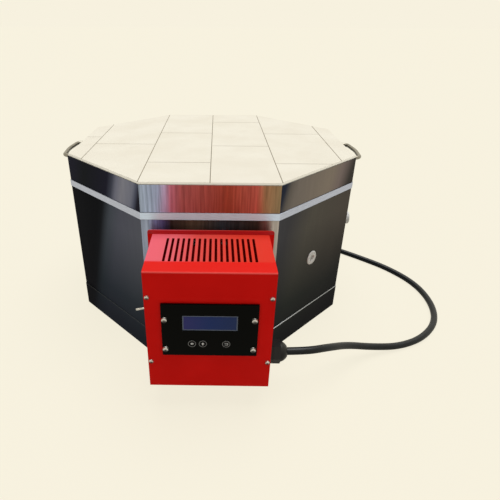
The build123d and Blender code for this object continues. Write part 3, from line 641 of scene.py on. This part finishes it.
# Handles: bent from drawn steel bar and screwed on from inside the band. The bar is bare, dull and
# a little brown, with fine marks left along it by the drawing die.
bar_steel, tree, shader = new_finish("drawn_steel_bar", {"Metallic": 1.0, "Roughness": 0.36})
place = add(tree, "TexCoord", {}, {}).outputs

# The marks are drawn ten times as coarse as they are, so that they show.
die_mm = 1.0
along_bar = 0.06
drawn = add(tree, "Mapping", {}, {"Vector": place["Object"], "Scale": (1, along_bar, 1)})
die_marks = add(tree, "TexNoise", {}, {"Vector": drawn, "Scale": 1000 / die_mm, "Detail": 3.0})
tone = add(tree, "ValToRGB", {"stops": ((0.3, "#7B776D"), (0.7, "#A09C92"))}, {"Fac": die_marks})
feed(tree, shader, {"Base Color": tone})
dress(["handle_left", "handle_right"], bar_steel)


# Screws, stand-offs and the switch's nut and lever: turned or rolled steel, plated bright, a little
# dulled where hands and drivers have touched them.
def plated_steel(name, rows_node=None, head_radius=0.0, below="#FFFFFF"):
    """Bright plating. Screw heads in two level rows get a painted reflection: dark below their
    centres.
    """
    material, tree, shader = new_finish(name, {"Metallic": 1.0})
    place = add(tree, "TexCoord", {}, {}).outputs
    wear_mm = 4.0
    wear = add(
        tree, "TexNoise", {}, {"Vector": place["Object"], "Scale": 1000 / wear_mm, "Detail": 4.0}
    )
    tone = add(tree, "ValToRGB", {"stops": ((0.3, "#A9A7A3"), (0.7, "#D5D4D1"))}, {"Fac": wear})
    if rows_node:
        low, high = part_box(rows_node)
        head = 2 * head_radius
        rows_apart = high[2] - low[2] - head
        spot = add(tree, "SeparateXYZ", {}, {"Vector": place["Object"]}).outputs
        above = add(tree, "Math", {"operation": "SUBTRACT"}, {0: spot["Z"], 1: low[2]})
        in_head = add(tree, "Math", {"operation": "MODULO"}, {0: above, 1: rows_apart})
        rise = add(tree, "MapRange", {}, {"Value": in_head, "From Max": head})
        shade = add(tree, "ValToRGB", {"stops": ((0.3, below), (0.6, "#FFFFFF"))}, {"Fac": rise})
        tone = add(
            tree,
            "Mix",
            {"data_type": "RGBA", "blend_type": "MULTIPLY"},
            {"Factor": 1.0, "A": tone, "B": shade},
        )
    dulled = add(tree, "MapRange", {}, {"Value": wear, "To Min": 0.14, "To Max": 0.34})
    feed(tree, shader, {"Base Color": tone, "Roughness": dulled})
    return material


# The heads on the front carry a painted reflection of what is under them: the black fascia or
# the red box.
fascia_head = 0.0049
cover_head = 0.0039
fascia_plating_painted_reflection = plated_steel("plated_fascia_screws_painted_reflection", "fascia_screws", fascia_head, "#4C484A")
cover_plating_painted_reflection = plated_steel("plated_cover_screws_painted_reflection", "cover_screws", cover_head, "#7A3A38")
dress(["fascia_screws"], fascia_plating_painted_reflection)
dress(["cover_screws"], cover_plating_painted_reflection)
dress(
    [
        "handle_screws",
        "lid_band_screws",
        "jacket_screws",
        "chassis_screws",
        "chassis_standoffs",
        "switch_nut",
        "switch_lever",
    ],
    plated_steel("bright_plated_steel"),
)


# Peephole plugs, bushings and the thermocouple's sheath: cast and fired alumina ceramic, a matt
# off-white with a fine sandy skin. The plugs push into the peepholes by hand.
ceramic, tree, shader = new_finish("fired_alumina", {"IOR": 1.6, "Specular IOR Level": 0.3})
place = add(tree, "TexCoord", {}, {}).outputs

# The sand is drawn five times as coarse as it is, so that it shows.
skin_mm = 1.5
skin = add(
    tree, "TexNoise", {}, {"Vector": place["Object"], "Scale": 1000 / skin_mm, "Detail": 5.0}
)
tone = add(tree, "ValToRGB", {"stops": ((0.3, "#DAD8D4"), (0.7, "#F0EEEA"))}, {"Fac": skin})
matt = add(tree, "MapRange", {}, {"Value": skin, "To Min": 0.55, "To Max": 0.8})
relief = add(tree, "Bump", {}, {"Height": skin, "Strength": 0.2, "Distance": 0.0003})
feed(tree, shader, {"Base Color": tone, "Roughness": matt, "Normal": relief})
dress(
    ["peephole_plug_front_right", "peephole_plug_right", "element_bushings", "thermocouple"],
    ceramic,
)


# Heating elements: resistance wire wound into a close coil, laid in the groove all the way round
# the chamber, with a doubled straight tail at each end that leads out through the wall.
element_count = 4
element_axis = 0.2197
element_radius = 0.0050
wire_radius = 0.0009
winding_pitch = 0.0048
corner_blend = 0.012
samples_per_winding = 10
wire_sides = 6
tail_half_gap = 0.024
tail_wire_radius = 0.0020
tail_sides = 12
side_count = 8
side_degrees = 360 / side_count
first_side = -90


def tube_mesh(centres, radius, sides_round, side_axis, up_axis):
    """Closed tube: at each centre a ring of points, radius times cos and sin along two axes."""
    angle = np.linspace(0, 2 * np.pi, sides_round, endpoint=False)
    ring = (
        np.cos(angle)[None, :, None] * side_axis[:, None, :]
        + np.sin(angle)[None, :, None] * up_axis[:, None, :]
    )
    points = (centres[:, None, :] + radius * ring).reshape(-1, 3)
    count = len(centres)
    start = np.arange(count - 1)[:, None] * sides_round
    here = np.arange(sides_round)[None, :]
    after = (here + 1) % sides_round
    corners = [start + here, start + after, start + after + sides_round, start + here + sides_round]
    quads = np.stack(corners, axis=-1).reshape(-1, 4)
    first = list(range(sides_round))[::-1]
    last = [(count - 1) * sides_round + place for place in range(sides_round)]
    return points, [*quads.tolist(), first, last]


def winding(height):
    """Coil round the chamber: the centre walks its octagon and moves on by the pitch in each turn.

    The wire's own line is the end of a spoke from the centre, whose length goes outwards by the
    cos of the turn and upwards by its sin.
    """
    first_corner = first_side + side_degrees / 2
    corner_turns = np.radians(first_corner + side_degrees * np.arange(side_count))
    corner_reach = element_axis / math.cos(math.pi / side_count)
    corners = np.stack([np.cos(corner_turns), np.sin(corner_turns)], axis=1) * corner_reach
    lead = tail_half_gap - tail_wire_radius * 2
    knots = np.concatenate([[[lead, -element_axis]], corners, [[-lead, -element_axis]]])
    runs = np.linalg.norm(np.diff(knots, axis=0), axis=1)
    along = np.concatenate([[0], np.cumsum(runs)])
    count = int(along[-1] / winding_pitch * samples_per_winding)
    way = np.linspace(0, along[-1], count)
    centre = np.stack(
        [np.interp(way, along, knots[:, 0]), np.interp(way, along, knots[:, 1])], axis=1
    )
    bends = np.stack([along[1:-1] - corner_blend, along[1:-1] + corner_blend], axis=1).ravel()
    facing_knots = np.concatenate([[0], bends, along[-1:]])
    facing_turns = np.radians(np.repeat(first_side + side_degrees * np.arange(side_count + 1), 2))
    facing = np.interp(way, facing_knots, facing_turns)
    outward = np.stack([np.cos(facing), np.sin(facing), np.zeros(count)], axis=1)
    upward = np.tile([0.0, 0.0, 1.0], (count, 1))
    turn = 2 * np.pi * way / winding_pitch
    arm = element_radius - wire_radius
    spoke = np.cos(turn)[:, None] * outward + np.sin(turn)[:, None] * upward
    line = np.column_stack([centre, np.full(count, height)]) + arm * spoke
    run = np.gradient(line, axis=0)
    run /= np.linalg.norm(run, axis=1)[:, None]
    side = np.cross(run, spoke)
    side /= np.linalg.norm(side, axis=1)[:, None]
    return tube_mesh(line, wire_radius, wire_sides, spoke, side)


def tail(hand, height, reach):
    """Straight tail from the coil's axis out to its end in the control box."""
    tail_x = hand * tail_half_gap
    line = np.array([[tail_x, -element_axis, height], [tail_x, reach, height]])
    upward = np.tile([0.0, 0.0, 1.0], (2, 1))
    sideways = np.tile([1.0, 0.0, 0.0], (2, 1))
    return tube_mesh(line, tail_wire_radius, tail_sides, upward, sideways)


def new_piece(name, parts, material, body, smooth):
    """One object from several closed meshes, riding on a body."""
    points = np.concatenate([part[0] for part in parts])
    starts = np.cumsum([0] + [len(part[0]) for part in parts[:-1]])
    faces = [
        [place + start for place in face] for start, part in zip(starts, parts) for face in part[1]
    ]
    mesh = bpy.data.meshes.new(name)
    mesh.from_pydata(points.tolist(), [], faces)
    mesh.polygons.foreach_set("use_smooth", [smooth] * len(mesh.polygons))
    mesh.materials.append(material)
    piece = bpy.data.objects.new(name, mesh)
    bpy.context.collection.objects.link(piece)
    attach(piece, body)
    return piece


# Iron-chromium-aluminium wire, oxidised dark grey by its first firing.
wire, tree, shader = new_finish("oxidised_resistance_wire", {"Metallic": 0.7, "Roughness": 0.55})
place = add(tree, "TexCoord", {}, {}).outputs
scale_mm = 3.0
scale = add(
    tree, "TexNoise", {}, {"Vector": place["Object"], "Scale": 1000 / scale_mm, "Detail": 3.0}
)
tone = add(tree, "ValToRGB", {"stops": ((0.3, "#4A4642"), (0.7, "#7B756E"))}, {"Fac": scale})
feed(tree, shader, {"Base Color": tone})
for number in range(1, element_count + 1):
    node = f"heating_element_{number}"
    low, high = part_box(node)
    height = (low[2] + high[2]) / 2
    parts = [winding(height), tail(1, height, low[1]), tail(-1, height, low[1])]
    element = new_piece(f"wound_element_{number}", parts, wire, "kiln", True)
    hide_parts(node)


# Control box: back plate, side walls and a bent cover in sheet steel, powder-coated signal red.
# The coat is thick and semi-gloss, with a very slight orange peel.
powder_coat, tree, shader = new_finish("red_powder_coat", {"IOR": 1.5, "Specular IOR Level": 0.07})
place = add(tree, "TexCoord", {}, {}).outputs
shade_mm = 60.0
shade = add(
    tree, "TexNoise", {}, {"Vector": place["Object"], "Scale": 1000 / shade_mm, "Detail": 3.0}
)
red = add(tree, "ValToRGB", {"stops": ((0.35, "#E60802"), (0.65, "#EE0D06"))}, {"Fac": shade})

# Painted sheen on the box's top: behind the slots' front end a painted reflection of the pale
# jacket over it, most at the left, and in front of it a paler red than the sides. A painted
# highlight runs where the sheet is folded.
spot = add(tree, "SeparateXYZ", {}, {"Vector": place["Object"]}).outputs
facing = add(tree, "SeparateXYZ", {}, {"Vector": place["Normal"]}).outputs
box_half_width = 0.095
along_top = add(
    tree,
    "MapRange",
    {},
    {"Value": spot["X"], "From Min": -box_half_width, "From Max": box_half_width},
)
box_top_painted_reflection = add(
    tree,
    "ValToRGB",
    {
        "stops": (
            (0.0, "#EF6674"),
            (0.2, "#E8666E"),
            (0.4, "#DE4E48"),
            (0.75, "#DE3E2E"),
            (1.0, "#E4382A"),
        ),
    },
    {"Fac": along_top},
)
cover_low, cover_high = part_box("control_cover")
slots_start = 0.031
sheen_blend = 0.002
sheen_low = cover_low[1] + slots_start - sheen_blend
sheen_high = cover_low[1] + slots_start + sheen_blend
behind = add(
    tree, "MapRange", {}, {"Value": spot["Y"], "From Min": sheen_low, "From Max": sheen_high}
)
top_painted_sheen = add(
    tree, "Mix", {"data_type": "RGBA"}, {"Factor": behind, "A": paint("#E4221A"), "B": box_top_painted_reflection}
)
level_normal = 0.95
upward = add(tree, "Math", {"operation": "GREATER_THAN"}, {0: facing["Z"], 1: level_normal})
red_with_painted_top_sheen = add(tree, "Mix", {"data_type": "RGBA"}, {"Factor": upward, "A": red, "B": top_painted_sheen})
fold_slope = -0.2
slope = add(tree, "Math", {"operation": "MULTIPLY"}, {0: facing["Z"], 1: facing["Y"]})
folded = add(tree, "Math", {"operation": "LESS_THAN"}, {0: slope, 1: fold_slope})
fold_painted_highlight = add(
    tree, "Mix", {"data_type": "RGBA"}, {"Factor": folded, "A": red_with_painted_top_sheen, "B": paint("#EA4C46")}
)

# The plate's lip over the box has a painted shade, as it stands in the shade of the lid.
lip_clearance = 0.0003
lip_base = cover_high[2] + lip_clearance
over_box = add(tree, "Math", {"operation": "GREATER_THAN"}, {0: spot["Z"], 1: lip_base})
front_normal = -0.9
ahead_faces = add(tree, "Math", {"operation": "LESS_THAN"}, {0: facing["Y"], 1: front_normal})
on_lip = add(tree, "Math", {"operation": "MULTIPLY"}, {0: over_box, 1: ahead_faces})
shaded = add(
    tree, "Mix", {"data_type": "RGBA"}, {"Factor": on_lip, "A": fold_painted_highlight, "B": paint("#D23438")}
)
peel_mm = 1.4
peel = add(
    tree, "TexNoise", {}, {"Vector": place["Object"], "Scale": 1000 / peel_mm, "Detail": 2.0}
)
coat = add(tree, "MapRange", {}, {"Value": peel, "To Min": 0.34, "To Max": 0.46})
relief = add(tree, "Bump", {}, {"Height": peel, "Strength": 0.12, "Distance": 0.0002})
feed(tree, shader, {"Base Color": shaded, "Roughness": coat, "Normal": relief})
dress(["control_chassis", "control_cover"], powder_coat)


# Fascia: black acrylic sheet held by four screws, cut out for the display and the keys. The
# polished face shows faint wiping marks.
acrylic, tree, shader = new_finish(
    "cast_acrylic", {"IOR": 1.49, "Specular IOR Level": 0.04, "Base Color": paint("#040504")}
)
place = add(tree, "TexCoord", {}, {}).outputs
wipe_mm = 18.0
wipe = add(
    tree,
    "TexNoise",
    {},
    {"Vector": place["Object"], "Scale": 1000 / wipe_mm, "Detail": 6.0, "Roughness": 0.7},
)
clean = add(tree, "MapRange", {}, {"Value": wipe, "To Min": 0.08, "To Max": 0.22})
feed(tree, shader, {"Roughness": clean})
dress(["fascia"], acrylic)


# Display: a liquid-crystal panel, dark blue-violet and unlit in its cells, behind clear glass in
# a thin pale bezel that the fascia's window frames.
glass_low, glass_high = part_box("display_module")
glass_x = (glass_low[0] + glass_high[0]) / 2
glass_z = (glass_low[2] + glass_high[2]) / 2
panel, tree, shader = new_finish(
    "display_glass", {"IOR": 1.5, "Roughness": 0.15, "Specular IOR Level": 0.12}
)
place = add(tree, "TexCoord", {}, {}).outputs
spot = add(tree, "SeparateXYZ", {}, {"Vector": place["Object"]}).outputs
off_x = add(tree, "Math", {"operation": "SUBTRACT"}, {0: spot["X"], 1: glass_x})
off_z = add(tree, "Math", {"operation": "SUBTRACT"}, {0: spot["Z"], 1: glass_z})
half_x = add(tree, "Math", {"operation": "ABSOLUTE"}, {0: off_x})
half_z = add(tree, "Math", {"operation": "ABSOLUTE"}, {0: off_z})
lit_half_width = 0.0392
lit_half_height = 0.0117
rim_x = add(tree, "Math", {"operation": "GREATER_THAN"}, {0: half_x, 1: lit_half_width})
rim_z = add(tree, "Math", {"operation": "GREATER_THAN"}, {0: half_z, 1: lit_half_height})
rim = add(tree, "Math", {"operation": "MAXIMUM"}, {0: rim_x, 1: rim_z})
glow = add(
    tree, "MapRange", {}, {"Value": off_x, "From Min": -lit_half_width, "From Max": lit_half_width}
)
cells = add(
    tree,
    "ValToRGB",
    {"stops": ((0.0, "#37387A"), (0.5, "#1F3674"), (1.0, "#223668"))},
    {"Fac": glow},
)
faced = add(tree, "Mix", {"data_type": "RGBA"}, {"Factor": rim, "A": cells, "B": paint("#6C758A")})
feed(tree, shader, {"Base Color": faced})
dress(["display_module"], panel)


# Keys: round satin black caps, each with a printed pale ring and a plain sign: left, up, enter.
# Pressed, they close a push switch on the board behind.
key_cap, tree, shader = new_finish(
    "moulded_key_cap", {"IOR": 1.5, "Specular IOR Level": 0.05, "Base Color": paint("#060606")}
)
place = add(tree, "TexCoord", {}, {}).outputs
touch_mm = 1.0
touch = add(
    tree, "TexNoise", {}, {"Vector": place["Object"], "Scale": 1000 / touch_mm, "Detail": 2.0}
)
satin = add(tree, "MapRange", {}, {"Value": touch, "To Min": 0.28, "To Max": 0.4})
feed(tree, shader, {"Roughness": satin})
dress(["key_left", "key_up", "key_enter"], key_cap)

# The print sinks into the cap by half of its thickness, so that no gap shows.
print_thickness = 0.00008
print_root = print_thickness / 2
ring_outer = 0.0060
ring_inner = 0.0053
ring_steps = 48


def plate(outline, place_x, place_z, face_y):
    """Flat print: an outline of points in the face's own plane, given a small thickness."""
    outline = np.asarray(outline)
    count = len(outline)
    front = np.column_stack(
        [outline[:, 0] + place_x, np.full(count, face_y - print_thickness), outline[:, 1] + place_z]
    )
    back = front + [0.0, print_thickness + print_root, 0.0]
    here = np.arange(count)
    after = (here + 1) % count
    walls = np.stack([here, here + count, after + count, after], axis=1)
    faces = [here.tolist(), (here[::-1] + count).tolist(), *walls.tolist()]
    return np.concatenate([front, back]), faces


def ring(place_x, place_z, face_y):
    """Printed ring: circles of radius times cos and sin, inner and outer, front and back."""
    angle = np.linspace(0, 2 * np.pi, ring_steps, endpoint=False)
    front = face_y - print_thickness
    back = face_y + print_root
    edges = ((ring_outer, front), (ring_inner, front), (ring_inner, back), (ring_outer, back))
    across = np.cos(angle)
    upward = np.sin(angle)
    loops = [
        np.column_stack(
            [across * radius + place_x, np.full(ring_steps, y), upward * radius + place_z]
        )
        for radius, y in edges
    ]
    here = np.arange(ring_steps)
    after = (here + 1) % ring_steps
    faces = []
    for loop in range(len(loops)):
        own = loop * ring_steps
        other = (loop + 1) % len(loops) * ring_steps
        walls = [here + own, here + other, after + other, after + own]
        faces += np.stack(walls, axis=1).tolist()
    return np.concatenate(loops), faces


def printed_ink(name, thin, thick):
    """Screen-printed ink, uneven in its cover, drawn coarser than it is so that it shows."""
    material, tree, shader = new_finish(
        name, {"IOR": 1.5, "Specular IOR Level": 0.2, "Roughness": 0.45}
    )
    place = add(tree, "TexCoord", {}, {}).outputs
    print_mm = 0.4
    speckle = add(
        tree, "TexNoise", {}, {"Vector": place["Object"], "Scale": 1000 / print_mm, "Detail": 2.0}
    )
    tone = add(tree, "ValToRGB", {"stops": ((0.3, thin), (0.7, thick))}, {"Fac": speckle})
    feed(tree, shader, {"Base Color": tone})
    return material


grey_ink = printed_ink("grey_screen_print", "#7C7C7C", "#9A9A9A")
white_ink = printed_ink("white_screen_print", "#D8D8D8", "#F4F4F4")

arrow = np.array([[-0.0026, 0.0], [0.0004, 0.0024], [0.0004, 0.0009], [0.0024, 0.0009]])
arrow = np.concatenate([arrow, arrow[:0:-1] * [1, -1]])
up_arrow = np.column_stack([arrow[:, 1], -arrow[:, 0]])[::-1]
bar = 0.0006
enter_wide = 0.0026
enter_tall = 0.0019
frame_outline = [
    (-enter_wide, -enter_tall),
    (enter_wide, -enter_tall),
    (enter_wide, enter_tall),
    (-enter_wide, enter_tall),
    (-enter_wide, enter_tall - bar),
    (enter_wide - bar, enter_tall - bar),
    (enter_wide - bar, -enter_tall + bar),
    (-enter_wide, -enter_tall + bar),
]
signs = {"key_left": arrow, "key_up": up_arrow, "key_enter": frame_outline}
for key, outline in signs.items():
    low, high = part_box(key)
    centre_x = (low[0] + high[0]) / 2
    centre_z = (low[2] + high[2]) / 2
    circle = ring(centre_x, centre_z, low[1])
    sign = plate(outline, centre_x, centre_z, low[1])
    new_piece(f"{key}_ring", [circle], grey_ink, key, False)
    new_piece(f"{key}_sign", [sign], white_ink, key, False)


# Inside the box: a green glass-fibre board, and a relay, terminal block and switch body moulded in
# dark phenolic. They show only through the slots.

# Glass-fibre board: a deep green under its lacquer, crossed by lighter copper tracks. A brick
# texture's cell is half a unit long.
board, tree, shader = new_finish("glass_fibre_board", {"IOR": 1.5, "Roughness": 0.35})
place = add(tree, "TexCoord", {}, {}).outputs
track_mm = 1.5
track_unit = 0.5
tracks = add(
    tree,
    "TexBrick",
    {},
    {
        "Vector": place["Object"],
        "Scale": 1000 / track_mm * track_unit,
        "Color1": paint("#12502B"),
        "Color2": paint("#17603A"),
        "Mortar": paint("#2E7D4A"),
    },
)
feed(tree, shader, {"Base Color": tracks})
dress(["circuit_board"], board)

# Moulded phenolic: a half-glossy charcoal black with faint flow marks.
phenolic, tree, shader = new_finish("moulded_phenolic", {"IOR": 1.6, "Roughness": 0.4})
place = add(tree, "TexCoord", {}, {}).outputs
flow_mm = 5.0
flow = add(
    tree, "TexNoise", {}, {"Vector": place["Object"], "Scale": 1000 / flow_mm, "Detail": 3.0}
)
tone = add(tree, "ValToRGB", {"stops": ((0.3, "#141414"), (0.7, "#262626"))}, {"Fac": flow})
feed(tree, shader, {"Base Color": tone})
dress(["power_relay", "terminal_block", "switch_body"], phenolic)


# Studio: a pale cream floor that runs back without an edge, a wide soft lamp overhead and a plain
# world. Nothing here belongs to the kiln.
def seen_share(tree):
    """1 for a ray that shows its place to the camera, straight, mirrored or through glass."""
    rays = add(tree, "LightPath", {}, {}).outputs
    seen = rays["Is Camera Ray"]
    for kind in ("Is Glossy Ray", "Is Transmission Ray"):
        seen = add(tree, "Math", {"operation": "MAXIMUM"}, {0: seen, 1: rays[kind]})
    return seen


ground_half = 30.0
ground_mesh = bpy.data.meshes.new("studio_floor")
ground_mesh.from_pydata(
    [
        (-ground_half, -ground_half, 0),
        (ground_half, -ground_half, 0),
        (ground_half, ground_half, 0),
        (-ground_half, ground_half, 0),
    ],
    [],
    [(0, 1, 2, 3)],
)
ground = bpy.data.objects.new("studio_floor", ground_mesh)
bpy.context.collection.objects.link(ground)

# Matt paper. Where it is seen it mostly shines by itself, so that it meets the world without an
# edge and keeps only a faint shadow.
lit_paper = 0.86
lit_cream = paint("#FDF7E4")
paper, tree, shader = new_finish(
    "studio_paper", {"Base Color": paint("#CFCABB"), "Roughness": 0.95, "Specular IOR Level": 0.0}
)
share = add(tree, "Math", {"operation": "MULTIPLY"}, {0: seen_share(tree), 1: lit_paper})
backlight = add(tree, "Emission", {}, {"Color": lit_cream, "Strength": 1.0})
blend = add(tree, "MixShader", {}, {"Fac": share, 1: shader, 2: backlight})
feed(tree, tree.nodes["Material Output"], {"Surface": blend})
ground_mesh.materials.append(paper)

# The world is cream where it is seen, and a dim grey as a light.
world = bpy.data.worlds.new("studio_world")
bpy.context.scene.world = world
world.use_nodes = True
tree = world.node_tree
lit = add(
    tree,
    "Mix",
    {"data_type": "RGBA"},
    {"Factor": seen_share(tree), "A": paint("#818181"), "B": paint("#F7F1DF")},
)
feed(tree, tree.nodes["Background"], {"Color": lit})

# The lamp stands a little behind the kiln and to its right, and is wide and soft.
lamp_strength = 2.6
lamp_spread = math.radians(50)
lamp_tilt = (math.radians(-8), math.radians(6), 0)
lamp_data = bpy.data.lights.new("overhead_lamp", "SUN")
lamp_data.energy = lamp_strength
lamp_data.angle = lamp_spread
lamp = bpy.data.objects.new("overhead_lamp", lamp_data)
lamp.rotation_euler = lamp_tilt
bpy.context.collection.objects.link(lamp)
